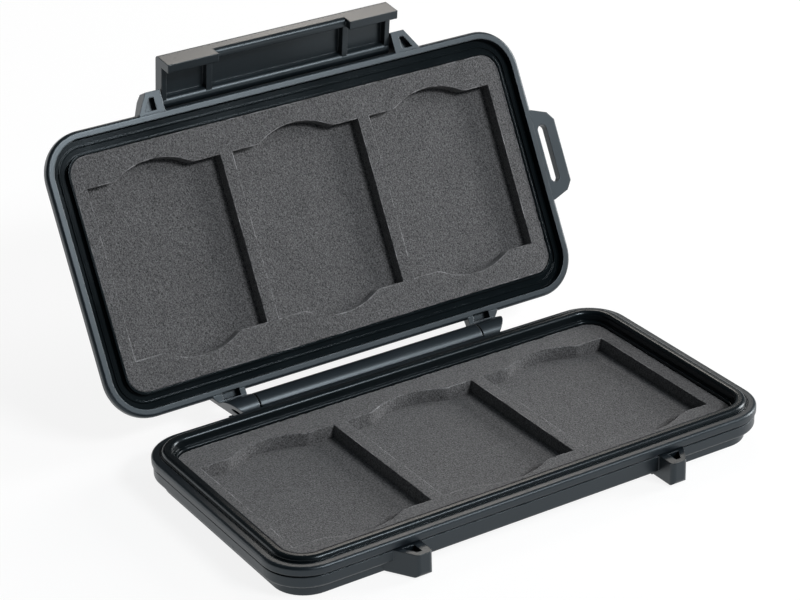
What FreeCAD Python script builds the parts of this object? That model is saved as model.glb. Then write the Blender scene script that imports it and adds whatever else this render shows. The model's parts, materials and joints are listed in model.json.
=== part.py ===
import FreeCAD, Part
import math
import os
import re
import Sketcher

# Memory card case: a shallow base and a lid on a back hinge, with a latch along the front.
# Everything is drawn closed, in millimetres. The origin is the middle of the underside,
# +X runs to the right, +Y to the hinge and +Z up. The lid and the latch are then swung open.

doc = FreeCAD.newDocument("card_case")
sheet = doc.addObject("Spreadsheet::Sheet", "dims")

sizes = {
    # Outline shared by both halves
    "case_length": 137.2,
    "case_depth": 72.0,
    "corner_radius": 11.0,
    "least_corner": 0.6,
    "rim_band": 2.2,
    "rim_width": 2.0,
    "band_step": 0.35,
    "seam_width": 0.5,
    "seam_depth": 0.4,
    "bay_inset": 6.2,
    "edge_radius": 0.3,
    "rim_edge_radius": 0.8,
    # Base shell
    "base_height": 8.9,
    "base_floor": 1.5,
    "plinth_height": 3.3,
    "plinth_inset": 2.4,
    "band_edge_radius": 0.7,
    "shelf_drop": 2.5,
    # Rubber liners
    "liner_floor": 0.6,
    "liner_wall": 1.0,
    "liner_gap": 0.05,
    "bead_inset": 2.5,
    "bead_width": 2.8,
    "bead_rise": 1.2,
    "bead_round_share": 0.9,
    "lip_drop": 1.3,
    "channel_depth": 1.7,
    "lip_width": 0.6,
    "lip_recess": 0.2,
    "ridge_inset": 3.6,
    "ridge_width": 0.5,
    "ridge_rise": 0.35,
    # Foam sheets and their card pockets
    "foam_gap": 0.1,
    "base_backing": 1.3,
    "base_sheet": 3.5,
    "lid_sheet": 3.6,
    "lid_backing": 3.6,
    "lid_foam_drop": 0.4,
    "pocket_side_strip": 3.7,
    "pocket_end_strip": 8.0,
    "pocket_web": 3.4,
    "base_pocket_shift": 0.9,
    "pocket_side_shift": 0.45,
    "notch_width": 21.2,
    "notch_depth": 3.2,
    "notch_foot": 3.5,
    # Lid shell
    "seam_gap": 0.2,
    "lid_wall": 10.5,
    "lid_draft_share": 0.56,
    "lid_panel_rise": 2.0,
    "lid_panel_inset": 2.2,
    "lid_edge_radius": 1.5,
    # Hinge
    "hinge_offset": 4.55,
    "hinge_drop": 2.28,
    "barrel_radius": 3.2,
    "barrel_length": 65.6,
    "web_height": 2.8,
    "knuckle_gap": 0.4,
    "knuckle_length": 2.6,
    "arm_flare": 6.5,
    "arm_depth": 2.7,
    "arm_web": 1.6,
    "arm_core_width": 4.8,
    "arm_core_bite": 0.8,
    "arm_core_depth": 2.2,
    "arm_stop": 1.0,
    "stop_gap": 0.05,
    "foot_reach": 6.5,
    "foot_width": 4.0,
    "foot_shoulder": 5.0,
    "foot_room": 2.0,
    "hinge_pin_radius": 1.0,
    "hinge_pin_grip": 8.0,
    "hinge_pin_seat": 4.0,
    "pin_play": 0.05,
    "pin_fit": 0.01,
    "pin_recess": 0.3,
    "open_angle": 117.4,
    # Ears on both halves, beside the latch
    "ear_reach": 5.0,
    "ear_tip": 4.0,
    "ear_root": 7.1,
    "ear_rib": 2.2,
    "ear_web": 1.6,
    "lid_ear_height": 5.8,
    "lid_ear_edge": 3.2,
    "lid_ear_slope": 2.2,
    "lid_ear_core": 2.0,
    "base_ear_drop": 2.5,
    "base_ear_height": 6.0,
    "base_ear_round": 1.2,
    "base_ear_floor": 1.0,
    # Lanyard loop
    "loop_root": 24.6,
    "loop_middle": 21.3,
    "loop_tip": 16.8,
    "loop_shoulder": 4.6,
    "loop_reach": 6.3,
    "slot_offset": 0.5,
    "slot_width": 2.8,
    "slot_length": 15.6,
    # Latch
    "latch_length": 66.3,
    "latch_gap": 0.45,
    "pivot_reach": 1.95,
    "pivot_rise": 3.6,
    "latch_barrel": 1.8,
    "latch_plate": 1.3,
    "latch_depth": 3.2,
    "end_rib": 1.4,
    "inner_rib": 1.6,
    "hook_height": 2.2,
    "hook_reach": 3.4,
    "hook_middle": 1.4,
    "hook_length": 14.2,
    "hook_play": 0.1,
    "hook_room": 0.6,
    "latch_lift": 0.1,
    "latch_round": 1.2,
    "hook_middle_round": 1.4,
    "latch_pin_radius": 0.75,
    "latch_pin_grip": 4.0,
    "latch_pin_seat": 2.6,
    "latch_angle": 55.0,
    # Working allowances
    "overrun": 1.0,
    "overlap": 0.5,
    "match": 0.01,
}
for row, (alias, value) in enumerate(sizes.items(), start=1):
    sheet.set(f"A{row}", alias)
    sheet.set(f"B{row}", str(value))
    sheet.setAlias(f"B{row}", alias)
doc.recompute()


def bound(formula):
    return re.sub(r"[a-z_]+", lambda word: "dims." + word[0] if word[0] in sizes else word[0], formula)


def size(formula):
    return float(sheet.evalExpression(bound(formula)))


# Heights and places that several pieces share, as formulas of the sheet.
RIM = "(base_height + seam_gap)"
BACK = "(case_depth / 2)"
HINGE_Y = "(case_depth / 2 + hinge_offset)"
HINGE_Z = "(base_height - hinge_drop)"
PIVOT_Y = "(-case_depth / 2 - pivot_reach)"
PIVOT_Z = f"({RIM} + pivot_rise)"
EAR_X = "(latch_length / 2 + latch_gap)"
KNUCKLE_X = "(barrel_length / 2 + knuckle_gap)"
BASE_FOAM = "(base_floor + liner_floor + base_backing)"
LID_FOAM = f"({RIM} + lid_foam_drop)"
LID_INSIDE = f"({LID_FOAM} + lid_sheet + lid_backing + liner_floor)"
LID_WALL = f"({RIM} + lid_wall)"
CHANNEL = f"({RIM} + channel_depth)"


def new_body(name):
    body = doc.addObject("PartDesign::Body", name)
    body.Label = name
    return body


def sketch_on(body, name, role, offset):
    sketch = body.newObject("Sketcher::SketchObject", name)
    plane = [item for item in body.Origin.OriginFeatures if item.Role == role][0]
    sketch.AttachmentSupport = [(plane, "")]
    sketch.MapMode = "FlatFace"
    sketch.setExpression("AttachmentOffset.Base.z", bound(offset))
    return sketch


def pin_point(sketch, geometry, end, formulas):
    # Holds one corner of an outline at the place that its two formulas give.
    for kind, axis, formula in zip(("DistanceX", "DistanceY"), (-2, -1), formulas):
        value = size(formula)
        if value == 0:
            sketch.addConstraint(Sketcher.Constraint("PointOnObject", geometry, end, axis))
        elif value > 0:
            number = sketch.addConstraint(Sketcher.Constraint(kind, -1, 1, geometry, end, value))
            sketch.setExpression(f"Constraints[{number}]", bound(formula))
        else:
            number = sketch.addConstraint(Sketcher.Constraint(kind, geometry, end, -1, 1, -value))
            sketch.setExpression(f"Constraints[{number}]", bound(f"-({formula})"))


def outline(sketch, corners, arcs=None):
    # Closed outline through the corners, anticlockwise. An edge numbered in arcs is an arc of that
    # radius, to the outside, or to the inside where the formula starts with a minus sign.
    arcs = arcs or {}
    points = [FreeCAD.Vector(size(first), size(second), 0) for first, second in corners]
    ends = []
    for number, start in enumerate(points):
        finish = points[(number + 1) % len(points)]
        if number not in arcs:
            geometry = sketch.addGeometry(Part.LineSegment(start, finish))
            ends.append((geometry, 1, 2))
            continue
        inward = arcs[number].startswith("-")
        first, last = (finish, start) if inward else (start, finish)
        radius = size(arcs[number].lstrip("-"))
        chord = last - first
        normal = FreeCAD.Vector(-chord.y, chord.x, 0).normalize()
        rise = math.sqrt(max(radius**2 - (chord.Length / 2) ** 2, 0))
        centre = (first + last) / 2 + normal * rise
        circle = Part.Circle(centre, FreeCAD.Vector(0, 0, 1), radius)
        turn = [math.atan2(point.y - centre.y, point.x - centre.x) for point in (first, last)]
        geometry = sketch.addGeometry(Part.ArcOfCircle(circle, turn[0], turn[1]))
        ends.append((geometry, 2, 1) if inward else (geometry, 1, 2))
    for number, (geometry, start, finish) in enumerate(ends):
        following = ends[(number + 1) % len(ends)]
        sketch.addConstraint(
            Sketcher.Constraint("Coincident", geometry, finish, following[0], following[1])
        )
        pin_point(sketch, geometry, start, corners[number])
    for number, formula in arcs.items():
        radius = formula.lstrip("-")
        place = sketch.addConstraint(Sketcher.Constraint("Radius", ends[number][0], size(radius)))
        sketch.setExpression(f"Constraints[{place}]", bound(radius))


def box_corners(left, right, front, back):
    return [(left, front), (right, front), (right, back), (left, back)]


def rounded(sketch, inset):
    # The plan of the case, brought in by the inset, with its four corners kept concentric.
    half_x = f"(case_length / 2 - ({inset}))"
    half_y = f"(case_depth / 2 - ({inset}))"
    radius = f"max(corner_radius - ({inset}); least_corner)"
    near_x = f"({half_x} - {radius})"
    near_y = f"({half_y} - {radius})"
    corners = [
        (f"-{near_x}", f"-{half_y}"),
        (near_x, f"-{half_y}"),
        (half_x, f"-{near_y}"),
        (half_x, near_y),
        (near_x, half_y),
        (f"-{near_x}", half_y),
        (f"-{half_x}", near_y),
        (f"-{half_x}", f"-{near_y}"),
    ]
    outline(sketch, corners, {1: radius, 3: radius, 5: radius, 7: radius})


def circle(sketch, across, along, radius):
    centre = FreeCAD.Vector(size(across), size(along), 0)
    geometry = sketch.addGeometry(Part.Circle(centre, FreeCAD.Vector(0, 0, 1), size(radius)))
    pin_point(sketch, geometry, 3, (across, along))
    number = sketch.addConstraint(Sketcher.Constraint("Radius", geometry, size(radius)))
    sketch.setExpression(f"Constraints[{number}]", bound(radius))


def extrude(body, kind, name, sketch, length, side="One side", reverse=False):
    feature = body.newObject(f"PartDesign::{kind}", name)
    feature.Profile = sketch
    feature.Type = "Length"
    feature.SideType = side
    feature.Reversed = reverse
    feature.setExpression("Length", bound(length))
    sketch.Visibility = False
    doc.recompute()
    return feature


def slab(body, name, inset, low, high):
    # A layer with the plan of the case, between two heights.
    sketch = sketch_on(body, name + "_plan", "XY_Plane", low)
    rounded(sketch, inset)
    return extrude(body, "Pad", name, sketch, f"{high} - ({low})")


def hollow(body, name, inset, low, high):
    # A hollow with the plan of the case, cut down from the upper height.
    sketch = sketch_on(body, name + "_plan", "XY_Plane", high)
    rounded(sketch, inset)
    return extrude(body, "Pocket", name, sketch, f"{high} - ({low})")


def ring_edges(shape, height, inset):
    # Names of the edges that lie at one height on the plan brought in by the inset.
    names = []
    for number, edge in enumerate(shape.Edges, start=1):
        limits = edge.BoundBox
        if max(abs(limits.ZMin - size(height)), abs(limits.ZMax - size(height))) > size("match"):
            continue
        middle = edge.valueAt((edge.FirstParameter + edge.LastParameter) / 2)
        radius = size("corner_radius")
        past_x = abs(middle.x) - size("case_length / 2") + radius
        past_y = abs(middle.y) - size("case_depth / 2") + radius
        reach = math.hypot(max(past_x, 0), max(past_y, 0)) + min(max(past_x, past_y), 0) - radius
        if abs(reach + size(inset)) < size("match"):
            names.append(f"Edge{number}")
    return names


def soften(body, name, names, radius, kind="Fillet"):
    feature = body.newObject(f"PartDesign::{kind}", name)
    feature.Base = (body.Tip if body.Tip is not feature else feature.BaseFeature, names)
    feature.setExpression("Radius" if kind == "Fillet" else "Size", bound(radius))
    doc.recompute()
    return feature


def both_sides(body, name, features):
    # The same features again on the left, mirrored about the middle of the case.
    feature = body.newObject("PartDesign::Mirrored", name)
    plane = [item for item in body.Origin.OriginFeatures if item.Role == "YZ_Plane"][0]
    feature.Originals = features
    feature.MirrorPlane = (plane, [""])
    body.Tip = feature
    doc.recompute()
    return feature


def ear_core_plan(sketch):
    # Plan of the hollow in the right ear, between its straight rib and its slanted web.
    slant = "((ear_root - ear_tip) / ear_reach)"
    front = f"(-{BACK} - ear_reach + ear_web)"
    back = f"(-{BACK} - edge_radius)"
    corners = [
        (f"{EAR_X} + ear_rib", front),
        (f"{EAR_X} + ear_tip + {slant} * ear_web - ear_web", front),
        (f"{EAR_X} + ear_root - {slant} * edge_radius - ear_web", back),
        (f"{EAR_X} + ear_rib", back),
    ]
    outline(sketch, corners)


# Base shell: one moulding with a plinth to stand on, two bands split by a fine seam, and a shelf
# inside for the seal. The hinge barrel and two feet are on the back, and two ears on the front.
base_shell = new_body("base_shell")
SEAM = "(base_height - rim_band)"
NECK = "band_step + seam_depth"
slab(base_shell, "plinth", "band_step + plinth_inset", "0", "plinth_height")
slab(base_shell, "lower_band", "band_step", "plinth_height", f"{SEAM} - seam_width")
slab(base_shell, "seam_neck", NECK, f"{SEAM} - seam_width", SEAM)
slab(base_shell, "rim_band_base", "0", SEAM, "base_height")
hollow(base_shell, "seal_bay", "rim_width", "base_height - shelf_drop", "base_height")
hollow(base_shell, "liner_bay", "bay_inset - liner_wall", "base_floor", "base_height - shelf_drop")
shape = base_shell.Tip.Shape
soften(base_shell, "band_round", ring_edges(shape, "plinth_height", "band_step"), "band_edge_radius")
shape = base_shell.Tip.Shape
rim_edges = ring_edges(shape, SEAM, "0") + ring_edges(shape, "0", "band_step + plinth_inset")
soften(base_shell, "seam_round", rim_edges, "edge_radius")
shape = base_shell.Tip.Shape
soften(base_shell, "rim_round", ring_edges(shape, "base_height", "0"), "rim_edge_radius")
web = sketch_on(base_shell, "barrel_web_side", "YZ_Plane", "0")
outline(
    web,
    box_corners(
        f"{BACK} - rim_width / 2",
        HINGE_Y,
        f"{HINGE_Z} - web_height / 2",
        f"{HINGE_Z} + web_height / 2",
    ),
)
extrude(base_shell, "Pad", "barrel_web", web, "barrel_length", "Symmetric")
barrel = sketch_on(base_shell, "barrel_side", "YZ_Plane", "0")
circle(barrel, HINGE_Y, HINGE_Z, "barrel_radius")
extrude(base_shell, "Pad", "barrel", barrel, "barrel_length", "Symmetric")
bore = sketch_on(base_shell, "barrel_bore_side", "YZ_Plane", "0")
circle(bore, HINGE_Y, HINGE_Z, "hinge_pin_radius + pin_play")
extrude(base_shell, "Pocket", "barrel_bore", bore, "barrel_length + 2 * overrun", "Symmetric")

# Feet: two tongues under the ends of the hinge. The open lid lands on them, and they keep the open
# case from tipping back.
PLINTH_BACK = f"({BACK} - band_step - plinth_inset)"
STOP_RISE = f"({RIM} + arm_stop - {HINGE_Z})"
STOP = f"({HINGE_Z} - barrel_radius * sin(open_angle) + {STOP_RISE} * cos(open_angle) - stop_gap)"
side = sketch_on(base_shell, "foot_side", "YZ_Plane", KNUCKLE_X)
outline(
    side,
    [
        (f"{PLINTH_BACK} - overlap", "0"),
        (f"{HINGE_Y} + foot_reach", "0"),
        (f"{HINGE_Y} + foot_reach", STOP),
        (f"{HINGE_Y} - foot_room", STOP),
        (f"{BACK} - band_step", "foot_shoulder"),
        (f"{PLINTH_BACK} - overlap", "foot_shoulder"),
    ],
)
foot = extrude(base_shell, "Pad", "foot", side, "foot_width")
both_sides(base_shell, "feet", [foot])

# Base ears: straight beside the latch, slanted on the outer side, and carried back to the plinth.
EAR_SHELF = "(base_height - base_ear_drop)"
EAR_TIP = f"(-{BACK} - ear_reach)"
EAR_BACK = f"(-{PLINTH_BACK} + overlap)"
SLANT = "((ear_root - ear_tip) / ear_reach)"
plan = sketch_on(base_shell, "base_ear_plan", "XY_Plane", EAR_SHELF)
outline(
    plan,
    [
        (EAR_X, EAR_TIP),
        (f"{EAR_X} + ear_tip", EAR_TIP),
        (f"{EAR_X} + ear_tip + {SLANT} * ({EAR_BACK} - {EAR_TIP})", EAR_BACK),
        (EAR_X, EAR_BACK),
    ],
)
ear = extrude(base_shell, "Pad", "base_ear", plan, "base_ear_height", reverse=True)
plan = sketch_on(base_shell, "base_ear_core_plan", "XY_Plane", EAR_SHELF)
ear_core_plan(plan)
core = extrude(base_shell, "Pocket", "base_ear_core", plan, "base_ear_height - base_ear_floor")
both_sides(base_shell, "base_ears", [ear, core])
ear_edges = []
for number, edge in enumerate(base_shell.Tip.Shape.Edges, start=1):
    limits = edge.BoundBox
    if abs(limits.YMax - size(EAR_TIP)) > size("match"):
        continue
    if limits.ZMin < size(EAR_SHELF) - size("match"):
        ear_edges.append(f"Edge{number}")
soften(base_shell, "base_ear_edges", ear_edges, "base_ear_round")

# Ledge between the base ears, which the latch hooks under.
HOOK_TOP = "(latch_lift + hook_height)"
LEDGE = f"({HOOK_TOP} + hook_play)"
HOOK_TIP = f"({PIVOT_Y} - latch_barrel + latch_depth + hook_reach)"
plan = sketch_on(base_shell, "latch_ledge_plan", "XY_Plane", LEDGE)
outline(
    plan,
    box_corners(
        f"-{EAR_X} - overlap",
        f"{EAR_X} + overlap",
        f"-{BACK} + band_step",
        f"{HOOK_TIP} + hook_room + overlap",
    ),
)
extrude(base_shell, "Pad", "latch_ledge", plan, f"plinth_height + band_edge_radius - {LEDGE}")
plan = sketch_on(base_shell, "hook_room_plan", "XY_Plane", LEDGE)
outline(
    plan,
    box_corners(f"-{EAR_X}", EAR_X, f"-{BACK} - overrun", f"{HOOK_TIP} + hook_room"),
)
extrude(base_shell, "Pocket", "hook_undercut", plan, f"{LEDGE} + overrun")

# Base liner: a rubber tray that lies on the floor of the shell. Its rim is the seal bead, and a
# narrow lip inside the bead frames the foam.
base_liner = new_body("base_liner")
TRAY_INSET = "rim_width + liner_gap"
WALL_INSET = "bay_inset - liner_wall + liner_gap"
BEAD_IN = "bead_inset + bead_width"
CREST = "(base_height + bead_rise)"
slab(base_liner, "base_tray", WALL_INSET, "base_floor", "base_height - shelf_drop")
slab(base_liner, "seal_flange", TRAY_INSET, "base_height - shelf_drop", "base_height")
slab(base_liner, "bead", "bead_inset", "base_height", CREST)
hollow(base_liner, "base_foam_bay", "bay_inset", "base_floor + liner_floor", CREST)
hollow(base_liner, "bead_inside", BEAD_IN, "base_height - lip_drop", CREST)
shape = base_liner.Tip.Shape
crest_edges = ring_edges(shape, CREST, "bead_inset") + ring_edges(shape, CREST, BEAD_IN)
soften(base_liner, "bead_round", crest_edges, "min(bead_rise; bead_width / 2) * bead_round_share")
shape = base_liner.Tip.Shape
lip_edges = ring_edges(shape, "base_height - lip_drop", "bay_inset")
soften(base_liner, "lip_round", lip_edges, "edge_radius")


def foam_sheet(name, low, high):
    body = new_body(name)
    slab(body, name + "_sheet", "bay_inset + foam_gap", low, high)
    return body


# Three card pockets share the sheet: a strip of foam is left round them and a web between them.
POCKET_STRIPS = "(2 * (bay_inset + foam_gap + pocket_side_strip) + 2 * pocket_web)"
POCKET_WIDTH = f"((case_length - {POCKET_STRIPS}) / 3)"
POCKET_HEIGHT = "(case_depth - 2 * (bay_inset + foam_gap + pocket_end_strip))"
POCKET_PITCH = f"({POCKET_WIDTH} + pocket_web)"


def cut_pockets(body, low, high, shift):
    # Each pocket has a shallow thumb notch in its two short edges.
    arc = "((notch_width * notch_width / 4 + notch_depth * notch_depth) / (2 * notch_depth))"
    sketch = sketch_on(body, body.Name + "_pocket_plan", "XY_Plane", f"{high} + overrun")
    for place in (-1, 0, 1):
        middle = f"({place} * {POCKET_PITCH} - pocket_side_shift)"
        low_y = f"({shift} - {POCKET_HEIGHT} / 2)"
        high_y = f"({shift} + {POCKET_HEIGHT} / 2)"
        corners = [
            (f"{middle} - {POCKET_WIDTH} / 2", low_y),
            (f"{middle} - notch_width / 2", low_y),
            (f"{middle} + notch_width / 2", low_y),
            (f"{middle} + {POCKET_WIDTH} / 2", low_y),
            (f"{middle} + {POCKET_WIDTH} / 2", high_y),
            (f"{middle} + notch_width / 2", high_y),
            (f"{middle} - notch_width / 2", high_y),
            (f"{middle} - {POCKET_WIDTH} / 2", high_y),
        ]
        outline(sketch, corners, {1: arc, 5: arc})
    extrude(body, "Pocket", body.Name + "_pockets", sketch, f"{high} - ({low}) + 2 * overrun")
    feet = []
    for number, edge in enumerate(body.Tip.Shape.Edges, start=1):
        limits = edge.BoundBox
        if limits.ZLength < size(f"{high} - ({low})") - size("match"):
            continue
        offset = abs(abs(edge.CenterOfMass.y - size(shift)) - size(f"{POCKET_HEIGHT} / 2"))
        side = edge.CenterOfMass.x + size("pocket_side_shift")
        spans = [abs(side - place * size(POCKET_PITCH)) for place in (-1, 0, 1)]
        if offset < size("match") and abs(min(spans) - size("notch_width / 2")) < size("match"):
            feet.append(f"Edge{number}")
    soften(body, body.Name + "_notch_feet", feet, "notch_foot")


# Base foam: a thin backing sheet, and on it the sheet that is cut out for the cards.
foam_sheet("base_foam_backing", "base_floor + liner_floor", BASE_FOAM)
base_foam = foam_sheet("base_foam_cutout", BASE_FOAM, f"{BASE_FOAM} + base_sheet")
cut_pockets(base_foam, BASE_FOAM, f"{BASE_FOAM} + base_sheet", "-base_pocket_shift")

# Lid shell: one moulding with a rim band, walls that lean in, and a raised panel on top. It carries
# the hinge arms, the two ears that hold the latch, and the lanyard loop.
lid_shell = new_body("lid_shell")
LID_SEAM = f"({RIM} + rim_band)"
LEAN = "(lid_draft_share * (lid_wall - rim_band))"
TOP_INSET = f"(band_step + {LEAN})"
PANEL_INSET = f"({TOP_INSET} + lid_panel_inset)"
LID_TOP = f"({LID_WALL} + lid_panel_rise)"
slab(lid_shell, "rim_band_lid", "0", RIM, LID_SEAM)
low = sketch_on(lid_shell, "lid_wall_low", "XY_Plane", LID_SEAM)
rounded(low, "band_step")
high = sketch_on(lid_shell, "lid_wall_high", "XY_Plane", LID_WALL)
rounded(high, TOP_INSET)
wall = lid_shell.newObject("PartDesign::AdditiveLoft", "lid_wall")
wall.Profile = low
wall.Sections = [high]
wall.Ruled = True
doc.recompute()
slab(lid_shell, "lid_panel", PANEL_INSET, LID_WALL, LID_TOP)
plan = sketch_on(lid_shell, "channel_bay_plan", "XY_Plane", RIM)
rounded(plan, "rim_width")
extrude(lid_shell, "Pocket", "channel_bay", plan, "channel_depth + liner_wall", reverse=True)
plan = sketch_on(lid_shell, "lid_bay_plan", "XY_Plane", RIM)
rounded(plan, "bay_inset - liner_wall")
extrude(lid_shell, "Pocket", "lid_bay", plan, f"{LID_INSIDE} - {RIM}", reverse=True)
shape = lid_shell.Tip.Shape
soften(lid_shell, "lid_round", ring_edges(shape, LID_WALL, TOP_INSET), "lid_edge_radius")
shape = lid_shell.Tip.Shape
rim_edges = ring_edges(shape, LID_SEAM, "0") + ring_edges(shape, LID_TOP, PANEL_INSET)
soften(lid_shell, "lid_seam_round", rim_edges, "edge_radius")
shape = lid_shell.Tip.Shape
soften(lid_shell, "lid_rim_round", ring_edges(shape, RIM, "0"), "rim_edge_radius")


def lean_in(height):
    # How far the leaning wall stands in from the outline, at a height above the rim.
    return f"(band_step + lid_draft_share * ({height} - rim_band))"


# Hinge arms: each is a plate at the back of the rim that ends in a knuckle, cored between its two
# webs. Its outer edge lands on the foot of the base when the lid stands open.
ARM_ROOT = f"({KNUCKLE_X} + knuckle_length + arm_flare)"
side = sketch_on(lid_shell, "arm_side", "YZ_Plane", KNUCKLE_X)
outline(
    side,
    [
        (f"{BACK} - overlap", RIM),
        (f"{HINGE_Y} - barrel_radius", RIM),
        (f"{HINGE_Y} - barrel_radius", HINGE_Z),
        (HINGE_Y, f"{HINGE_Z} - barrel_radius"),
        (f"{HINGE_Y} + barrel_radius", HINGE_Z),
        (f"{HINGE_Y} + barrel_radius", f"{RIM} + arm_stop"),
        (f"{BACK} - {lean_in('arm_depth')} - overlap", f"{RIM} + arm_depth"),
        (f"{BACK} - band_step - overlap", LID_SEAM),
    ],
    {2: "barrel_radius", 3: "barrel_radius"},
)
arm = extrude(lid_shell, "Pad", "arm", side, "knuckle_length + arm_flare")
plan = sketch_on(lid_shell, "arm_slant_plan", "XY_Plane", "0")
SLANT = "(arm_flare / (hinge_offset + barrel_radius))"
outline(
    plan,
    [
        (ARM_ROOT, BACK),
        (f"{ARM_ROOT} + overrun", BACK),
        (f"{ARM_ROOT} + overrun", f"{HINGE_Y} + barrel_radius + overrun"),
        (f"{ARM_ROOT} - arm_flare - {SLANT} * overrun", f"{HINGE_Y} + barrel_radius + overrun"),
    ],
)
slant = extrude(lid_shell, "Pocket", "arm_slant", plan, f"2 * ({LID_TOP} + overrun)", "Symmetric")
plan = sketch_on(lid_shell, "arm_core_plan", "XY_Plane", RIM)
outline(
    plan,
    box_corners(
        f"{KNUCKLE_X} + arm_web",
        f"{KNUCKLE_X} + arm_web + arm_core_width",
        f"{BACK} - arm_core_bite",
        f"{HINGE_Y} - barrel_radius - edge_radius",
    ),
)
core = extrude(lid_shell, "Pocket", "arm_core", plan, "arm_core_depth", reverse=True)
side = sketch_on(lid_shell, "knuckle_bore_side", "YZ_Plane", f"{KNUCKLE_X} - overrun")
circle(side, HINGE_Y, HINGE_Z, "hinge_pin_radius + pin_fit")
BORE = "knuckle_length + arm_flare + 2 * overrun"
knuckle = extrude(lid_shell, "Pocket", "knuckle_bore", side, BORE, reverse=True)
both_sides(lid_shell, "arms", [arm, slant, core, knuckle])

# Lid ears: a straight rib beside each end of the latch, with a slanted web on its outer side. The
# hollow between them is open towards the base.
EAR_TOP = f"({RIM} + lid_ear_height)"
side = sketch_on(lid_shell, "lid_ear_side", "YZ_Plane", EAR_X)
outline(
    side,
    [
        (f"-{BACK} - ear_reach", RIM),
        (f"-{BACK} + overlap", RIM),
        (f"-{BACK} + band_step + overlap", LID_SEAM),
        (f"-{BACK} + {lean_in('lid_ear_height')} + overlap", EAR_TOP),
        (f"-{BACK}", EAR_TOP),
        (f"-{BACK} - ear_reach", f"{EAR_TOP} - lid_ear_slope"),
    ],
)
ear = extrude(lid_shell, "Pad", "lid_ear", side, "ear_root")
plan = sketch_on(lid_shell, "lid_ear_slant_plan", "XY_Plane", "0")
SLANT = "((ear_root - ear_tip) / ear_reach)"
outline(
    plan,
    [
        (f"{EAR_X} + ear_tip - {SLANT} * overrun", f"-{BACK} - ear_reach - overrun"),
        (f"{EAR_X} + ear_root + overrun", f"-{BACK} - ear_reach - overrun"),
        (f"{EAR_X} + ear_root + overrun", f"-{BACK}"),
        (f"{EAR_X} + ear_root", f"-{BACK}"),
    ],
)
slant = extrude(lid_shell, "Pocket", "lid_ear_slant", plan, f"2 * ({LID_TOP} + overrun)", "Symmetric")
front = sketch_on(lid_shell, "lid_ear_taper_front", "XZ_Plane", BACK)
outline(
    front,
    [
        (f"{EAR_X} + ear_root", f"{RIM} + lid_ear_edge"),
        (f"{EAR_X} + ear_root + overrun", f"{RIM} + lid_ear_edge"),
        (f"{EAR_X} + ear_root + overrun", f"{EAR_TOP} + overrun"),
        (f"{EAR_X} + ear_rib", f"{EAR_TOP} + overrun"),
        (f"{EAR_X} + ear_rib", EAR_TOP),
    ],
)
taper = extrude(lid_shell, "Pocket", "lid_ear_taper", front, "ear_reach + overrun", reverse=True)
plan = sketch_on(lid_shell, "lid_ear_core_plan", "XY_Plane", RIM)
ear_core_plan(plan)
core = extrude(lid_shell, "Pocket", "lid_ear_hollow", plan, "lid_ear_core", reverse=True)
side = sketch_on(lid_shell, "latch_pin_seat_side", "YZ_Plane", f"{EAR_X} - overrun")
circle(side, PIVOT_Y, PIVOT_Z, "latch_pin_radius + pin_fit")
seat = extrude(lid_shell, "Pocket", "latch_pin_hole", side, "latch_pin_seat + overrun", reverse=True)
both_sides(lid_shell, "lid_ears", [ear, slant, taper, core, seat])

# Latch seat: a low pad on the front wall between the ears, close behind the barrel of the latch.
SEAT_RISE = "(pivot_rise + latch_barrel)"
side = sketch_on(lid_shell, "latch_seat_side", "YZ_Plane", "0")
outline(
    side,
    [
        (f"-{BACK}", f"{LID_SEAM} - overlap"),
        (f"-{BACK} + band_step + overlap", f"{LID_SEAM} - overlap"),
        (f"-{BACK} + {lean_in(SEAT_RISE)} + overlap", f"{RIM} + {SEAT_RISE}"),
        (f"-{BACK}", f"{RIM} + {SEAT_RISE}"),
    ],
)
extrude(lid_shell, "Pad", "latch_seat", side, f"2 * ({EAR_X} + overlap)", "Symmetric")

# Lanyard loop: a flat eye on the right end of the rim band.
plan = sketch_on(lid_shell, "loop_plan", "XY_Plane", RIM)
END = "(case_length / 2)"
outline(
    plan,
    [
        (f"{END} - overlap", "-loop_root / 2"),
        (END, "-loop_root / 2"),
        (f"{END} + loop_shoulder", "-loop_middle / 2"),
        (f"{END} + loop_reach", "-loop_tip / 2"),
        (f"{END} + loop_reach", "loop_tip / 2"),
        (f"{END} + loop_shoulder", "loop_middle / 2"),
        (END, "loop_root / 2"),
        (f"{END} - overlap", "loop_root / 2"),
    ],
)
extrude(lid_shell, "Pad", "lanyard_loop", plan, "rim_band")
plan = sketch_on(lid_shell, "slot_plan", "XY_Plane", f"{LID_SEAM} + overrun")
SLOT_IN = f"({END} + slot_offset)"
outline(
    plan,
    [
        (f"{SLOT_IN} + slot_width", "-(slot_length - slot_width) / 2"),
        (f"{SLOT_IN} + slot_width", "(slot_length - slot_width) / 2"),
        (f"{SLOT_IN} + slot_width / 2", "slot_length / 2"),
        (SLOT_IN, "(slot_length - slot_width) / 2"),
        (SLOT_IN, "-(slot_length - slot_width) / 2"),
        (f"{SLOT_IN} + slot_width / 2", "-slot_length / 2"),
    ],
    {1: "slot_width / 2", 2: "slot_width / 2", 4: "slot_width / 2", 5: "slot_width / 2"},
)
extrude(lid_shell, "Pocket", "lanyard_slot", plan, "rim_band + 2 * overrun")

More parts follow.
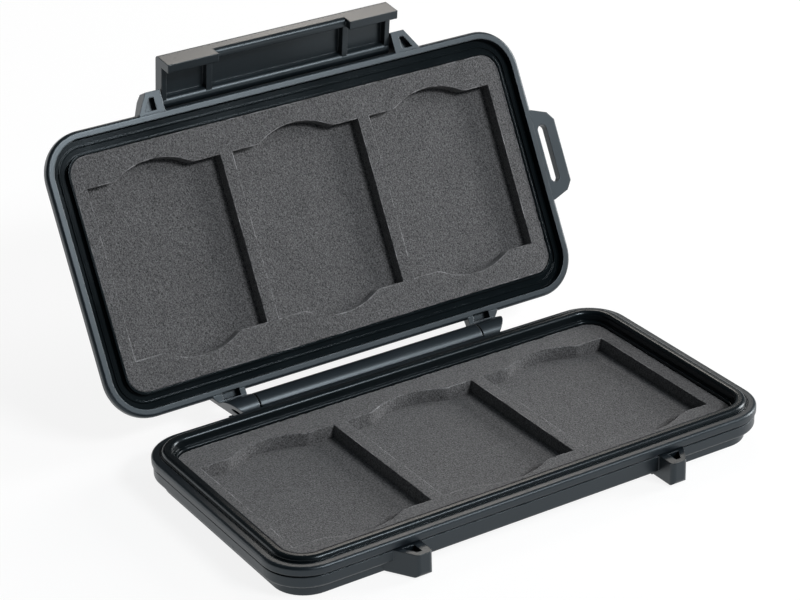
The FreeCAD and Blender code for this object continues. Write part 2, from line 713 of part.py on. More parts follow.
# Lid liner: a rubber tray with a channel round it for the bead. A low ridge runs along the channel
# and a thin lip stands between the channel and the foam.
lid_liner = new_body("lid_liner")
slab(lid_liner, "channel_flange", TRAY_INSET, CHANNEL, f"{CHANNEL} + liner_wall")
slab(lid_liner, "lid_tray", WALL_INSET, f"{CHANNEL} + liner_wall", LID_INSIDE)
slab(lid_liner, "foam_lip", "bay_inset - lip_width", f"{RIM} + lip_recess", CHANNEL)
plan = sketch_on(lid_liner, "lid_foam_bay_plan", "XY_Plane", f"{RIM} - overrun")
rounded(plan, "bay_inset")
BAY = f"{LID_INSIDE} - liner_floor - {RIM} + overrun"
extrude(lid_liner, "Pocket", "lid_foam_bay", plan, BAY, reverse=True)
plan = sketch_on(lid_liner, "ridge_plan", "XY_Plane", CHANNEL)
rounded(plan, "ridge_inset")
rounded(plan, "ridge_inset + ridge_width")
extrude(lid_liner, "Pad", "ridge", plan, "ridge_rise", reverse=True)

# Lid foam: a thick backing sheet, and the sheet that is cut out for the cards.
LID_BACKING = f"({LID_FOAM} + lid_sheet)"
foam_sheet("lid_foam_backing", LID_BACKING, f"{LID_INSIDE} - liner_floor")
lid_foam = foam_sheet("lid_foam_cutout", LID_FOAM, LID_BACKING)
cut_pockets(lid_foam, LID_FOAM, LID_BACKING, "0")

# Latch: a ribbed plate that hangs from its barrel between the lid's ears. Its hook bar is deeper at
# the two ends, which catch under the ledge of the base.
latch = new_body("latch")
LATCH_BACK = f"({PIVOT_Y} - latch_barrel)"
side = sketch_on(latch, "latch_side", "YZ_Plane", "0")
outline(
    side,
    [
        (LATCH_BACK, "latch_lift"),
        (f"{LATCH_BACK} + latch_depth + hook_middle", "latch_lift"),
        (f"{LATCH_BACK} + latch_depth + hook_middle", HOOK_TOP),
        (f"{LATCH_BACK} + latch_plate", HOOK_TOP),
        (f"{LATCH_BACK} + latch_plate", PIVOT_Z),
        (LATCH_BACK, PIVOT_Z),
    ],
)
extrude(latch, "Pad", "latch_body", side, "latch_length", "Symmetric")
side = sketch_on(latch, "latch_barrel_side", "YZ_Plane", "0")
circle(side, PIVOT_Y, PIVOT_Z, "latch_barrel")
extrude(latch, "Pad", "latch_tube", side, "latch_length", "Symmetric")
plan = sketch_on(latch, "hook_plan", "XY_Plane", "latch_lift")
HALF_LATCH = "(latch_length / 2)"
HOOK_ROOT = f"({LATCH_BACK} + latch_depth)"
outline(plan, box_corners(f"{HALF_LATCH} - hook_length", HALF_LATCH, HOOK_ROOT, HOOK_TIP))
outline(plan, box_corners(f"-{HALF_LATCH}", f"-{HALF_LATCH} + hook_length", HOOK_ROOT, HOOK_TIP))
extrude(latch, "Pad", "hooks", plan, "hook_height")
plan = sketch_on(latch, "rib_plan", "XY_Plane", f"{HOOK_TOP} - overlap")
RIB_IN = f"({LATCH_BACK} + latch_plate / 2)"
INNER_RIB = f"({HALF_LATCH} - hook_length)"
outline(plan, box_corners(f"{HALF_LATCH} - end_rib", HALF_LATCH, RIB_IN, HOOK_ROOT))
outline(plan, box_corners(INNER_RIB, f"{INNER_RIB} + inner_rib", RIB_IN, HOOK_ROOT))
outline(plan, box_corners(f"-{INNER_RIB} - inner_rib", f"-{INNER_RIB}", RIB_IN, HOOK_ROOT))
outline(plan, box_corners(f"-{HALF_LATCH}", f"-{HALF_LATCH} + end_rib", RIB_IN, HOOK_ROOT))
extrude(latch, "Pad", "latch_ribs", plan, f"{PIVOT_Z} - {HOOK_TOP} + overlap")
side = sketch_on(latch, "latch_bore_side", "YZ_Plane", "0")
circle(side, PIVOT_Y, PIVOT_Z, "latch_pin_radius + pin_play")
extrude(latch, "Pocket", "latch_bore", side, "latch_length + 2 * overrun", "Symmetric")
round_edges = []
for number, edge in enumerate(latch.Tip.Shape.Edges, start=1):
    place = edge.CenterOfMass
    along = abs(place.y - size(LATCH_BACK)) + abs(place.z - size("latch_lift"))
    if along < size("match") and edge.BoundBox.XLength > size("latch_length / 2"):
        round_edges.append(f"Edge{number}")
soften(latch, "latch_edge_round", round_edges, "latch_round")
round_edges = []
for number, edge in enumerate(latch.Tip.Shape.Edges, start=1):
    place = edge.CenterOfMass
    along = abs(place.y - size(f"{HOOK_ROOT} + hook_middle")) + abs(place.z - size("latch_lift"))
    if along < size("match") and abs(place.x) < size("match"):
        round_edges.append(f"Edge{number}")
soften(latch, "hook_middle_edge", round_edges, "hook_middle_round")


def pin(name, start, length, along, height, radius):
    # A plain steel pin along X.
    piece = doc.addObject("Part::Cylinder", name)
    piece.Label = name
    piece.setExpression("Radius", bound(radius))
    piece.setExpression("Height", bound(length))
    turn = FreeCAD.Rotation(FreeCAD.Vector(0, 1, 0), 90)
    piece.Placement = FreeCAD.Placement(FreeCAD.Vector(size(start), size(along), size(height)), turn)
    return piece


# Hinge pins: pressed into the lid's knuckles, turning in the base barrel.
PIN_START = "(barrel_length / 2 - hinge_pin_grip)"
PIN_LENGTH = "(hinge_pin_grip + knuckle_gap + hinge_pin_seat)"
AXIS = (HINGE_Y, HINGE_Z, "hinge_pin_radius")
pins = [
    pin("hinge_pin_right", PIN_START, PIN_LENGTH, *AXIS),
    pin("hinge_pin_left", f"-{PIN_START} - {PIN_LENGTH}", PIN_LENGTH, *AXIS),
]

# Latch pins: pressed into the lid's ears, carrying the barrel of the latch.
PIN_START = "(latch_length / 2 - latch_pin_grip)"
PIN_LENGTH = "(latch_pin_grip + latch_gap + latch_pin_seat - pin_recess)"
AXIS = (PIVOT_Y, PIVOT_Z, "latch_pin_radius")
pins += [
    pin("latch_pin_right", PIN_START, PIN_LENGTH, *AXIS),
    pin("latch_pin_left", f"-{PIN_START} - {PIN_LENGTH}", PIN_LENGTH, *AXIS),
]
doc.recompute()

# The lid and all it carries are swung open about the hinge, and the latch about its own pins.
across = FreeCAD.Vector(1, 0, 0)
hinge = FreeCAD.Vector(0, size(HINGE_Y), size(HINGE_Z))
pivot = FreeCAD.Vector(0, size(PIVOT_Y), size(PIVOT_Z))
still = FreeCAD.Vector(0, 0, 0)
opened = FreeCAD.Placement(still, FreeCAD.Rotation(across, -size("open_angle")), hinge)
swung = FreeCAD.Placement(still, FreeCAD.Rotation(across, -size("latch_angle")), pivot)
for name in ("lid_shell", "lid_liner", "lid_foam_backing", "lid_foam_cutout"):
    doc.getObject(name).Placement = opened
latch.Placement = opened.multiply(swung)
for piece in pins:
    piece.Placement = opened.multiply(piece.Placement)
doc.recompute()

for item in doc.Objects:
    if "Invalid" in item.State or "Error" in item.State:
        raise RuntimeError(f"{item.Name} could not be built")
os.makedirs("parts", exist_ok=True)
pieces = [item for item in doc.Objects if item.TypeId in ("PartDesign::Body", "Part::Cylinder")]
for piece in pieces:
    shape = piece.Shape
    if shape.isNull() or not shape.isValid() or len(shape.Solids) != 1:
        raise RuntimeError(f"{piece.Label} is not one valid solid")
    shape.exportStep(f"parts/{piece.Label}.step")
    limits = shape.BoundBox
    print(piece.Label, round(shape.Volume), limits)
print("hinge", hinge, "pivot", opened.multVec(pivot))
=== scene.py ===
import json
import math
import bmesh
import bpy
from mathutils import Matrix, Vector, geometry, kdtree, noise


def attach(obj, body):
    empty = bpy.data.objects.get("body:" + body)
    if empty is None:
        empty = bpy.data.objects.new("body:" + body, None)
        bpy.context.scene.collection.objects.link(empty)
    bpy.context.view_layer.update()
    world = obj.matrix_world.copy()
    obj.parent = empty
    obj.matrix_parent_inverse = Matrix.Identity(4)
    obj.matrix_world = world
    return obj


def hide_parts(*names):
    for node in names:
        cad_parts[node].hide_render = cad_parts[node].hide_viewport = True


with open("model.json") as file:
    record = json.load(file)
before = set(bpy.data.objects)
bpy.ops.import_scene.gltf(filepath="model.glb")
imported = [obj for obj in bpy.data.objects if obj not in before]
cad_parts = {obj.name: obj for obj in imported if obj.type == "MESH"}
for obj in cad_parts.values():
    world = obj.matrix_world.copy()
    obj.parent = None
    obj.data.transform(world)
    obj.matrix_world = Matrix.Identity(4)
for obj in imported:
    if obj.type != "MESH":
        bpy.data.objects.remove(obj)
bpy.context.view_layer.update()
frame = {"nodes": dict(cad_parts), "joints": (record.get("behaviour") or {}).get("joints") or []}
part = frame["nodes"]


# Base shell: the lower half of the case, one injection moulding of black polycarbonate. Rim,
# plinth, hinge barrel, feet and ears are all of a piece. The tool leaves a fine satin skin. Its
# edges are painted lighter, partly as wear from handling and partly as a painted highlight.
def add(tree, kind, sockets=None, **settings):
    item = tree.nodes.new("ShaderNode" + kind)
    for name, value in settings.items():
        setattr(item, name, value)
    for name, value in (sockets or {}).items():
        if isinstance(value, bpy.types.NodeSocket):
            tree.links.new(value, item.inputs[name])
        else:
            item.inputs[name].default_value = value
    return item


def shared_effect(name, inputs, outputs):
    group = bpy.data.node_groups.new(name, "ShaderNodeTree")
    for label, value in inputs.items():
        socket = group.interface.new_socket(name=label, in_out="INPUT", socket_type="NodeSocketFloat")
        socket.default_value = value
    for label, kind in outputs.items():
        group.interface.new_socket(name=label, in_out="OUTPUT", socket_type="NodeSocket" + kind)
    return group, group.nodes.new("NodeGroupInput"), group.nodes.new("NodeGroupOutput")


def place_effect(tree, group, **values):
    item = tree.nodes.new("ShaderNodeGroup")
    item.node_tree = group
    for name, value in values.items():
        item.inputs[name].default_value = value
    return item.outputs


# Rounded arrises: every edge reads as slightly rounded, and the same test gives patchy edge marks, used for
# wear with a painted highlight on the plastic and for dust on the rubber.
edges, given, result = shared_effect(
    "rounded_edges", {"Radius": 0.0003, "Patch": 180.0}, {"EdgePatches": "Float", "Normal": "Vector"}
)
spot = add(edges, "TexCoord").outputs["Object"]
eased = add(edges, "Bevel", {"Radius": given.outputs["Radius"]}, samples=6)
flat = add(edges, "NewGeometry").outputs["Normal"]
agree = add(edges, "VectorMath", {0: eased.outputs[0], 1: flat}, operation="DOT_PRODUCT")
turned = add(edges, "MapRange", {"Value": agree.outputs["Value"], "From Min": 0.995, "From Max": 0.86})
patchy = add(edges, "TexNoise", {"Vector": spot, "Scale": given.outputs["Patch"], "Detail": 4.0})
patchiness = add(edges, "MapRange", {"Value": patchy.outputs["Fac"], "From Min": 0.38, "From Max": 0.66})
edge_patches = add(edges, "Math", {0: turned.outputs[0], 1: patchiness.outputs[0]}, operation="MULTIPLY")
edges.links.new(edge_patches.outputs[0], result.inputs["EdgePatches"])
edges.links.new(eased.outputs[0], result.inputs["Normal"])

# Skin: the fine grain of a moulded surface, with slow changes of gloss and a few hair scratches.
skin, given, result = shared_effect(
    "moulded_skin",
    {"Grain": 2400.0, "Cloud": 46.0},
    {"Height": "Float", "Tone": "Float", "Scratch": "Float"},
)
# The pattern is turned so that no flat face lies along its grid.
level = add(skin, "TexCoord").outputs["Object"]
spot = add(skin, "Mapping", {"Vector": level, "Rotation": (0.5, 0.35, 0.8)}).outputs[0]
grain = add(skin, "TexNoise", {"Vector": spot, "Scale": given.outputs["Grain"], "Detail": 3.0})
cloud = add(skin, "TexNoise", {"Vector": spot, "Scale": given.outputs["Cloud"], "Detail": 5.0})
drawn = add(skin, "Mapping", {"Vector": spot, "Rotation": (0.4, 0.3, 0.6), "Scale": (30.0, 900.0, 900.0)})
hair = add(skin, "TexNoise", {"Vector": drawn.outputs[0], "Scale": 1.0, "Detail": 2.0})
thin = add(skin, "MapRange", {"Value": hair.outputs["Fac"], "From Min": 0.69, "From Max": 0.74})
skin.links.new(grain.outputs["Fac"], result.inputs["Height"])
skin.links.new(cloud.outputs["Fac"], result.inputs["Tone"])
skin.links.new(thin.outputs[0], result.inputs["Scratch"])


def new_finish(name):
    material = bpy.data.materials.new(name)
    material.use_nodes = True
    tree = material.node_tree
    return material, tree, tree.nodes["Principled BSDF"]


def moulded_plastic(name, dark, pale, rubbed_and_highlight, gloss, grain_depth):
    material, tree, shader = new_finish(name)
    rub_and_highlight_share, scratch_dulling = 0.7, 0.10
    edge = place_effect(tree, edges, Radius=0.00035)
    surface = place_effect(tree, skin)
    tone = add(tree, "MapRange", {"Value": surface["Tone"], "From Min": 0.3, "From Max": 0.7})
    body = add(tree, "Mix", {"Factor": tone.outputs[0], "A": dark, "B": pale}, data_type="RGBA")
    # The edges take the pale rubbed colour: partly wear, partly a painted highlight.
    share = add(tree, "Math", {0: edge["EdgePatches"], 1: rub_and_highlight_share}, operation="MULTIPLY")
    colour = add(tree, "Mix", {"Factor": share.outputs[0], "B": rubbed_and_highlight}, data_type="RGBA")
    tree.links.new(body.outputs["Result"], colour.inputs["A"])
    tree.links.new(colour.outputs["Result"], shader.inputs["Base Color"])
    rough = add(tree, "MapRange", {"Value": surface["Tone"], "To Min": gloss[0], "To Max": gloss[1]})
    scuffed = add(
        tree,
        "Math",
        {0: surface["Scratch"], 1: scratch_dulling, 2: rough.outputs[0]},
        operation="MULTIPLY_ADD",
    )
    tree.links.new(scuffed.outputs[0], shader.inputs["Roughness"])
    bump = add(tree, "Bump", {"Strength": 0.22, "Distance": grain_depth, "Height": surface["Height"]})
    tree.links.new(edge["Normal"], bump.inputs["Normal"])
    tree.links.new(bump.outputs[0], shader.inputs["Normal"])
    shader.inputs["IOR"].default_value = 1.56
    shader.inputs["Specular IOR Level"].default_value = 0.5
    shader.inputs["Specular Tint"].default_value = (0.80, 0.92, 1.0, 1)
    return material


def dress(piece, material):
    piece.data.materials.clear()
    piece.data.materials.append(material)


satin_black = moulded_plastic(
    "satin_black_polycarbonate",
    dark=(0.0055, 0.0085, 0.0115, 1),
    pale=(0.0095, 0.0135, 0.0175, 1),
    rubbed_and_highlight=(0.110, 0.118, 0.126, 1),
    gloss=(0.30, 0.42),
    grain_depth=0.00003,
)
dress(part["base_shell"], satin_black)


# Base liner: a soft black rubber tray pressed into the shell. Its rim is the round seal bead that
# the lid closes on. The rubber is smoother than the shell and carries a little dust.
def moulded_rubber(name, dark, pale, dust, gloss, shine):
    material, tree, shader = new_finish(name)
    edge_dust, dust_share = 0.35, 0.4
    edge = place_effect(tree, edges, Radius=0.00022, Patch=420.0)
    surface = place_effect(tree, skin, Grain=3800.0, Cloud=70.0)
    tone = add(tree, "MapRange", {"Value": surface["Tone"], "From Min": 0.3, "From Max": 0.7})
    body = add(tree, "Mix", {"Factor": tone.outputs[0], "A": dark, "B": pale}, data_type="RGBA")
    specks = add(tree, "TexVoronoi", {"Scale": 650.0, "Randomness": 1.0})
    tree.links.new(add(tree, "TexCoord").outputs["Object"], specks.inputs["Vector"])
    speck = add(tree, "MapRange", {"Value": specks.outputs["Distance"], "From Min": 0.075, "From Max": 0.03})
    dusty = add(
        tree,
        "Math",
        {0: edge["EdgePatches"], 1: edge_dust, 2: speck.outputs[0]},
        operation="MULTIPLY_ADD",
        use_clamp=True,
    )
    share = add(tree, "Math", {0: dusty.outputs[0], 1: dust_share}, operation="MULTIPLY")
    colour = add(tree, "Mix", {"Factor": share.outputs[0], "B": dust}, data_type="RGBA")
    tree.links.new(body.outputs["Result"], colour.inputs["A"])
    tree.links.new(colour.outputs["Result"], shader.inputs["Base Color"])
    rough = add(tree, "MapRange", {"Value": surface["Tone"], "To Min": gloss[0], "To Max": gloss[1]})
    tree.links.new(rough.outputs[0], shader.inputs["Roughness"])
    bump = add(tree, "Bump", {"Strength": 0.12, "Distance": 0.00002, "Height": surface["Height"]})
    tree.links.new(edge["Normal"], bump.inputs["Normal"])
    tree.links.new(bump.outputs[0], shader.inputs["Normal"])
    shader.inputs["IOR"].default_value = 1.5
    shader.inputs["Specular IOR Level"].default_value = shine
    shader.inputs["Specular Tint"].default_value = (0.80, 0.92, 1.0, 1)
    return material


bead_rubber = moulded_rubber(
    "black_bead_rubber",
    dark=(0.0014, 0.0030, 0.0038, 1),
    pale=(0.0030, 0.0054, 0.0066, 1),
    dust=(0.045, 0.048, 0.050, 1),
    gloss=(0.19, 0.31),
    shine=0.35,
)
dress(part["base_liner"], bead_rubber)


# Base foam: two sheets of charcoal closed-cell foam. The lower one is plain and lies on the liner;
# the upper one is die-cut with three card pockets, each with a thumb notch at both short edges.
cut_step = 0.0007


def arc_points(centre, radius, start, finish, step):
    count = max(3, round(abs(finish - start) * radius / step))
    turns = [start + (finish - start) * number / count for number in range(count + 1)]
    return [Vector((centre[0] + radius * math.cos(t), centre[1] + radius * math.sin(t))) for t in turns]


def evened(points, step):
    # The same closed outline with points about one step apart.
    line = []
    for number, point in enumerate(points):
        following = points[(number + 1) % len(points)]
        count = max(1, round((following - point).length / step))
        line += [point.lerp(following, share / count) for share in range(count)]
    return line


def sheet_outline(half_length, half_width, corner, step):
    points = []
    for turn, (x, y) in enumerate(((1, 1), (-1, 1), (-1, -1), (1, -1))):
        centre = (x * (half_length - corner), y * (half_width - corner))
        points += arc_points(centre, corner, turn * math.pi / 2, (turn + 1) * math.pi / 2, step)
    return evened(points, step)


def pocket_outline(middle, step):
    half_width, half_height = 0.0184, 0.0217
    notch, depth, foot = 0.0106, 0.0032, 0.0035
    bow = (notch**2 + depth**2) / (2 * depth)
    reach = math.sqrt(2 * depth * (bow + foot) - depth**2)
    lean = math.atan2(reach, bow + foot - depth)
    end = [Vector((half_width, half_height))]
    end += arc_points((reach, half_height + foot), foot, -math.pi / 2, -math.pi / 2 - lean, step)
    crown = (0.0, half_height + depth - bow)
    end += arc_points(crown, bow, math.pi / 2 - lean, math.pi / 2 + lean, step)
    end += arc_points((-reach, half_height + foot), foot, lean - math.pi / 2, -math.pi / 2, step)
    end.append(Vector((-half_width, half_height)))
    points = end + [-point for point in end]
    return [point + Vector(middle) for point in evened(points, step)]


def rounded_spot(point):
    # To a tenth of a micron, so that points of the face and the back can be matched.
    return round(point.x, 7), round(point.y, 7)


def foam_sheet(name, holes, thickness, place):
    # Local sheet: back at z 0, open face at z thickness. The cut edges wander a little, as a
    # steel rule leaves them, and the open face is slightly uneven.
    half_length, half_width, corner = 0.0623, 0.0297, 0.0047
    wander, wander_rate, loop_offset = 0.00004, 900.0, 0.02
    edge_round = 0.00022
    swell_height, swell_rate, swell_slice = 0.00004, 70.0, 0.3
    fine_height, fine_rate, fine_slice = 0.00002, 420.0, 0.7
    sink = 0.00005
    loops = [sheet_outline(half_length, half_width, corner, cut_step)] + holes
    points, rings = [], []
    for loop in loops:
        rings.append(list(range(len(points), len(points) + len(loop))))
        for point in loop:
            sample = Vector((point.x, point.y, loop_offset * len(rings)))
            stray = noise.noise_vector(sample * wander_rate)
            points.append(point + Vector((stray.x, stray.y)) * wander)
    bars = [(ring[n], ring[(n + 1) % len(ring)]) for ring in rings for n in range(len(ring))]
    outline_count = len(points)
    rims = kdtree.KDTree(outline_count)
    for number, point in enumerate(points):
        rims.insert(point.to_3d(), number)
    rims.balance()
    # A grid of points fills the face. It stays clear of the cuts, so that these can be rounded.
    pitch, stagger, clear = 0.0016, 0.0003, 0.0008
    rows, columns = int(half_width / pitch), int(half_length / pitch)
    for row in range(-rows, rows + 1):
        for column in range(-columns, columns + 1):
            inner = Vector((column * pitch + stagger * (row % 2), row * pitch))
            if rims.find(inner.to_3d())[2] > clear:
                points.append(inner)
    keep_inside, weld = 2, 1e-7
    fill = geometry.delaunay_2d_cdt(points, bars, rings, keep_inside, weld)
    mesh = bmesh.new()
    cut_edge = mesh.faces.layers.float.new("cut_edge")
    tops = [mesh.verts.new((p.x, p.y, thickness)) for p in fill[0]]
    for face in fill[2]:
        mesh.faces.new([tops[number] for number in face])
    loose = [vert for vert in mesh.verts if not vert.link_faces]
    bmesh.ops.delete(mesh, geom=loose, context="VERTS")
    for face in mesh.faces:
        if face.normal.z < 0:
            face.normal_flip()
    rim = [edge for edge in mesh.edges if edge.is_boundary]
    wall = bmesh.ops.extrude_edge_only(mesh, edges=rim)
    foot = [item for item in wall["geom"] if isinstance(item, bmesh.types.BMVert)]
    for vert in foot:
        vert.co.z = 0.0
    # The back is filled from the outlines alone.
    feet = {rounded_spot(vert.co): vert for vert in foot}
    under = geometry.delaunay_2d_cdt(points[:outline_count], bars, rings, keep_inside, weld)
    below = [feet[rounded_spot(point)] for point in under[0]]
    for face in under[2]:
        mesh.faces.new([below[number] for number in face])
    lips = bmesh.ops.bevel(
        mesh, geom=rim, offset=edge_round, segments=3, profile=0.6, affect="EDGES", clamp_overlap=True
    )
    for face in lips["faces"]:
        face[cut_edge] = 1.0
    bmesh.ops.recalc_face_normals(mesh, faces=mesh.faces)
    for vert in mesh.verts:
        if vert.co.z > 0.5 * thickness:
            swell = noise.noise(Vector((vert.co.x, vert.co.y, swell_slice)) * swell_rate)
            fine = noise.noise(Vector((vert.co.x, vert.co.y, fine_slice)) * fine_rate)
            vert.co.z += swell_height * swell + fine_height * fine - sink
    data = bpy.data.meshes.new(name)
    mesh.to_mesh(data)
    mesh.free()
    data.transform(place)
    for face in data.polygons:
        face.use_smooth = True
    piece = bpy.data.objects.new(name, data)
    bpy.context.scene.collection.objects.link(piece)
    piece.modifiers.new("crisp_edges", "EDGE_SPLIT").split_angle = math.radians(50)
    return piece


def charcoal_foam(name):
    # The pattern is turned so that no cut wall lies along its grid. The cut edges are painted pale
    # in patches, partly as torn cells and partly as a painted highlight on the lips.
    material, tree, shader = new_finish(name)
    dark_cell, pale_cell = (0.021, 0.0212, 0.0222, 1), (0.200, 0.199, 0.204, 1)
    torn_cell_and_highlight = (0.31, 0.31, 0.32, 1)
    rest = add(tree, "TexCoord").outputs["Object"]
    spot = add(tree, "Mapping", {"Vector": rest, "Rotation": (0.6, 0.4, 0.9)}).outputs[0]
    lip = add(tree, "Attribute", attribute_name="cut_edge").outputs["Fac"]
    torn = add(tree, "TexNoise", {"Vector": spot, "Scale": 190.0, "Detail": 6.0, "Roughness": 0.75})
    tufts = add(tree, "MapRange", {"Value": torn.outputs["Fac"], "From Min": 0.46, "From Max": 0.66})
    cells = add(tree, "TexVoronoi", {"Vector": spot, "Scale": 3200.0})
    speck = add(tree, "TexNoise", {"Vector": spot, "Scale": 2600.0, "Detail": 3.0, "Roughness": 0.7})
    cloud = add(tree, "TexNoise", {"Vector": spot, "Scale": 110.0, "Detail": 3.0})
    ramp = add(tree, "ValToRGB", {"Fac": speck.outputs["Fac"]})
    for stop, place, shade in zip(ramp.color_ramp.elements, (0.33, 0.70), (dark_cell, pale_cell)):
        stop.position = place
        stop.color = shade
    tint = add(tree, "MapRange", {"Value": cloud.outputs["Fac"], "To Min": 0.86, "To Max": 1.14})
    clouded = add(
        tree,
        "Mix",
        {"Factor": 1.0, "A": ramp.outputs["Color"]},
        data_type="RGBA",
        blend_type="MULTIPLY",
    )
    tree.links.new(tint.outputs[0], clouded.inputs["B"])
    # Painted highlight on the cut-edge lips, in patches, partly torn cells.
    share = add(tree, "Math", {0: lip, 1: tufts.outputs[0]}, operation="MULTIPLY")
    fuzz_and_highlight = add(tree, "Mix", {"Factor": share.outputs[0], "B": torn_cell_and_highlight}, data_type="RGBA")
    tree.links.new(clouded.outputs["Result"], fuzz_and_highlight.inputs["A"])
    tree.links.new(fuzz_and_highlight.outputs["Result"], shader.inputs["Base Color"])
    relief = add(tree, "Math", {0: cells.outputs["Distance"], 1: speck.outputs["Fac"]}, operation="ADD")
    bump = add(tree, "Bump", {"Strength": 0.6, "Distance": 0.00012, "Height": relief.outputs[0]})
    tree.links.new(bump.outputs[0], shader.inputs["Normal"])
    shader.inputs["Roughness"].default_value = 0.95
    shader.inputs["Specular IOR Level"].default_value = 0.2
    shader.inputs["Sheen Weight"].default_value = 0.15
    shader.inputs["Sheen Roughness"].default_value = 0.6
    return material


def pocket_row(shift_y):
    pitch, shift_x = 0.0402, -0.00045
    return [pocket_outline((number * pitch + shift_x, shift_y), cut_step) for number in (-1, 0, 1)]


# A fixed seed gives the cuts the same wander in every run.
noise.seed_set(11)
foam = charcoal_foam("charcoal_foam")
underlay_low, sheet_low = 0.0021, 0.0034
underlay_thick, sheet_thick = 0.0013, 0.0035
base_pocket_shift = -0.0009
base_backing = foam_sheet(
    "base_foam_underlay", [], underlay_thick, Matrix.Translation((0, 0, underlay_low))
)
base_sheet = foam_sheet(
    "base_foam_pockets", pocket_row(base_pocket_shift), sheet_thick, Matrix.Translation((0, 0, sheet_low))
)
for piece, node in ((base_backing, "base_foam_backing"), (base_sheet, "base_foam_cutout")):
    dress(piece, foam)
    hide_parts(node)
    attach(piece, "base")


# Lid shell: the upper half, a second injection moulding of the same black polycarbonate. It turns
# on the base by its two hinge arms, and carries the latch ears and the lanyard loop on the right.
dress(part["lid_shell"], satin_black)


# Lid liner: a second tray of soft black rubber, pressed into the lid. The bead of the base seats
# in the channel round its edge. This rubber is smoother than the bead's and shines less.
channel_rubber = moulded_rubber(
    "black_channel_rubber",
    dark=(0.0014, 0.0030, 0.0038, 1),
    pale=(0.0030, 0.0054, 0.0066, 1),
    dust=(0.045, 0.048, 0.050, 1),
    gloss=(0.09, 0.19),
    shine=0.18,
)
dress(part["lid_liner"], channel_rubber)


# Lid foam: the same pair of sheets, face down when the case is shut. They are laid out shut and
# then swung open with the lid about the hinge line.
hinge_line = Vector(frame["joints"][0]["pos_m"])
open_angle = math.radians(117.4)
swing = Matrix.Translation(hinge_line) @ Matrix.Rotation(-open_angle, 4, "X")
swing = swing @ Matrix.Translation(-hinge_line)
turned_over = Matrix.Rotation(math.pi, 4, "X")
lid_sheet_thick = 0.0036
underlay_top, sheet_top = 0.0167, 0.0131
lid_pocket_shift = 0.0
lid_backing = foam_sheet(
    "lid_foam_underlay",
    [],
    lid_sheet_thick,
    swing @ Matrix.Translation((0, 0, underlay_top)) @ turned_over,
)
lid_sheet = foam_sheet(
    "lid_foam_pockets",
    pocket_row(lid_pocket_shift),
    lid_sheet_thick,
    swing @ Matrix.Translation((0, 0, sheet_top)) @ turned_over,
)
for piece, node in ((lid_backing, "lid_foam_backing"), (lid_sheet, "lid_foam_cutout")):
    dress(piece, foam)
    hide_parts(node)
    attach(piece, "lid")


# Latch: one more moulding of the black polycarbonate, a ribbed plate with a hook bar along its
# free edge. It hangs on its barrel between the ears of the lid.
smooth_black = moulded_plastic(
    "smooth_black_polycarbonate",
    dark=(0.0050, 0.0080, 0.0100, 1),
    pale=(0.0080, 0.0120, 0.0150, 1),
    rubbed_and_highlight=(0.110, 0.118, 0.126, 1),
    gloss=(0.27, 0.37),
    grain_depth=0.00002,
)
dress(part["latch"], smooth_black)


# Pins: four short pins of plain drawn steel, almost hidden, pressed into the lid. Two of them
# carry the hinge and two the latch.
def drawn_steel(name):
    material, tree, shader = new_finish(name)
    dull, bright = (0.42, 0.42, 0.43, 1), (0.62, 0.62, 0.62, 1)
    surface = place_effect(tree, skin, Grain=3000.0, Cloud=300.0)
    shade = add(tree, "Mix", {"Factor": surface["Tone"], "A": dull, "B": bright}, data_type="RGBA")
    tree.links.new(shade.outputs["Result"], shader.inputs["Base Color"])
    rough = add(tree, "MapRange", {"Value": surface["Tone"], "To Min": 0.25, "To Max": 0.5})
    tree.links.new(rough.outputs[0], shader.inputs["Roughness"])
    shader.inputs["Metallic"].default_value = 1.0
    return material


steel = drawn_steel("drawn_steel")
for name in ("hinge_pin_left", "hinge_pin_right", "latch_pin_left", "latch_pin_right"):
    dress(part[name], steel)


# Setting: a white table in a dim room. The main softbox stands in front, above the camera; a lower
# one at the right shades the pockets, and two weak ones behind pick out the top faces and the back.
table = bpy.data.meshes.new("table")
reach = 6.0
corners = [(x * reach, y * reach, 0) for x, y in ((-1, -1), (1, -1), (1, 1), (-1, 1))]
table.from_pydata(corners, [], [(0, 1, 2, 3)])
floor = bpy.data.objects.new("table", table)
bpy.context.scene.collection.objects.link(floor)
white_table = bpy.data.materials.new("white_table")
white_table.use_nodes = True
tree = white_table.node_tree
tree.nodes.clear()
white_level = 0.86
ray = add(tree, "LightPath").outputs
direct = add(tree, "Math", {0: ray["Is Camera Ray"], 1: ray["Is Glossy Ray"]}, operation="MAXIMUM")
shown = add(tree, "Math", {0: direct.outputs[0], 1: ray["Is Transmission Ray"]}, operation="MAXIMUM")
glow = add(tree, "Math", {0: shown.outputs[0], 1: white_level}, operation="MULTIPLY")
lit = add(tree, "BsdfDiffuse", {"Color": (0.18, 0.18, 0.18, 1)})
lift = add(tree, "Emission", {"Strength": glow.outputs[0]})
both = add(tree, "AddShader", {0: lit.outputs[0], 1: lift.outputs[0]})
tree.links.new(both.outputs[0], add(tree, "OutputMaterial").inputs["Surface"])
floor.data.materials.append(white_table)

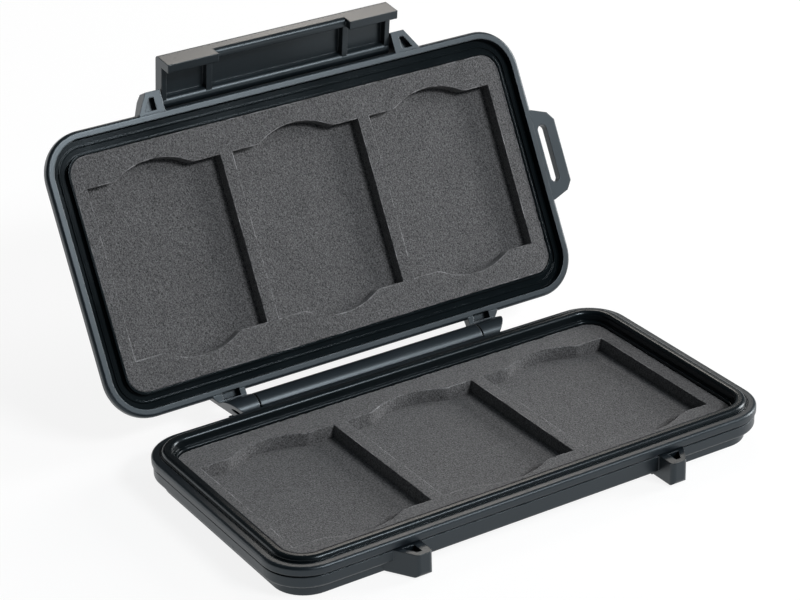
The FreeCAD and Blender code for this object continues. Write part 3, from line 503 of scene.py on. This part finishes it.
surround = bpy.data.worlds.new("studio_walls")
bpy.context.scene.world = surround
surround.use_nodes = True
tree = surround.node_tree
tree.nodes.clear()
left_wall, right_wall = 0.03, 0.30
toward = add(tree, "TexCoord").outputs["Generated"]
axes = add(tree, "SeparateXYZ", {0: toward}).outputs
side = add(
    tree,
    "MapRange",
    {"Value": axes["X"], "From Min": -1.0, "To Min": left_wall, "To Max": right_wall},
)
walls = add(tree, "Background", {"Color": (0.82, 0.93, 1.0, 1), "Strength": side.outputs[0]})
tree.links.new(walls.outputs[0], add(tree, "OutputWorld").inputs["Surface"])


def softbox(name, place, aim, size, power, tint):
    lamp = bpy.data.lights.new(name, "AREA")
    lamp.shape = "RECTANGLE"
    lamp.size, lamp.size_y = size
    lamp.energy = power
    lamp.color = tint
    stand = bpy.data.objects.new(name, lamp)
    stand.location = place
    stand.rotation_euler = (Vector(aim) - Vector(place)).to_track_quat("-Z", "Y").to_euler()
    stand.visible_camera = False
    bpy.context.scene.collection.objects.link(stand)


softbox("side_right", (0.98, -0.18, 0.31), (0.0, 0.05, 0.04), (0.34, 0.5), 8.4, (1.0, 0.99, 0.98))
softbox("key_front", (0.72, -1.71, 1.48), (0.0, 0.03, 0.03), (0.80, 0.36), 31.2, (0.97, 0.985, 1.0))
softbox("strip_behind", (0.64, 0.92, 0.93), (0.0, 0.08, 0.08), (0.36, 0.30), 3.0, (1.0, 0.89, 0.80))
softbox("back_left", (-0.75, 1.10, 0.22), (0.0, 0.05, 0.03), (0.9, 0.4), 2.0, (1.0, 1.0, 1.0))


# Camera: a long lens at the front left, looking down on the open case. Its place and its three
# directions were solved from the corners of the six pockets.
lens = bpy.data.cameras.new("camera")
lens.sensor_width = 36.0
lens.lens = 117.54
lens.clip_start = 0.05
lens.clip_end = 20.0
eye = bpy.data.objects.new("camera", lens)
right = Vector((0.84374, -0.53620, -0.02423))
down = Vector((-0.25498, -0.36068, -0.89716))
ahead = Vector((0.47232, 0.76315, -0.44104))
stands_at = (-0.30087, -0.46143, 0.31369)
turn = Matrix((right, -down, -ahead)).transposed()
eye.matrix_world = Matrix.Translation(stands_at) @ turn.to_4x4()
bpy.context.scene.collection.objects.link(eye)
bpy.context.scene.camera = eye
bpy.context.scene.view_settings.view_transform = "Standard"
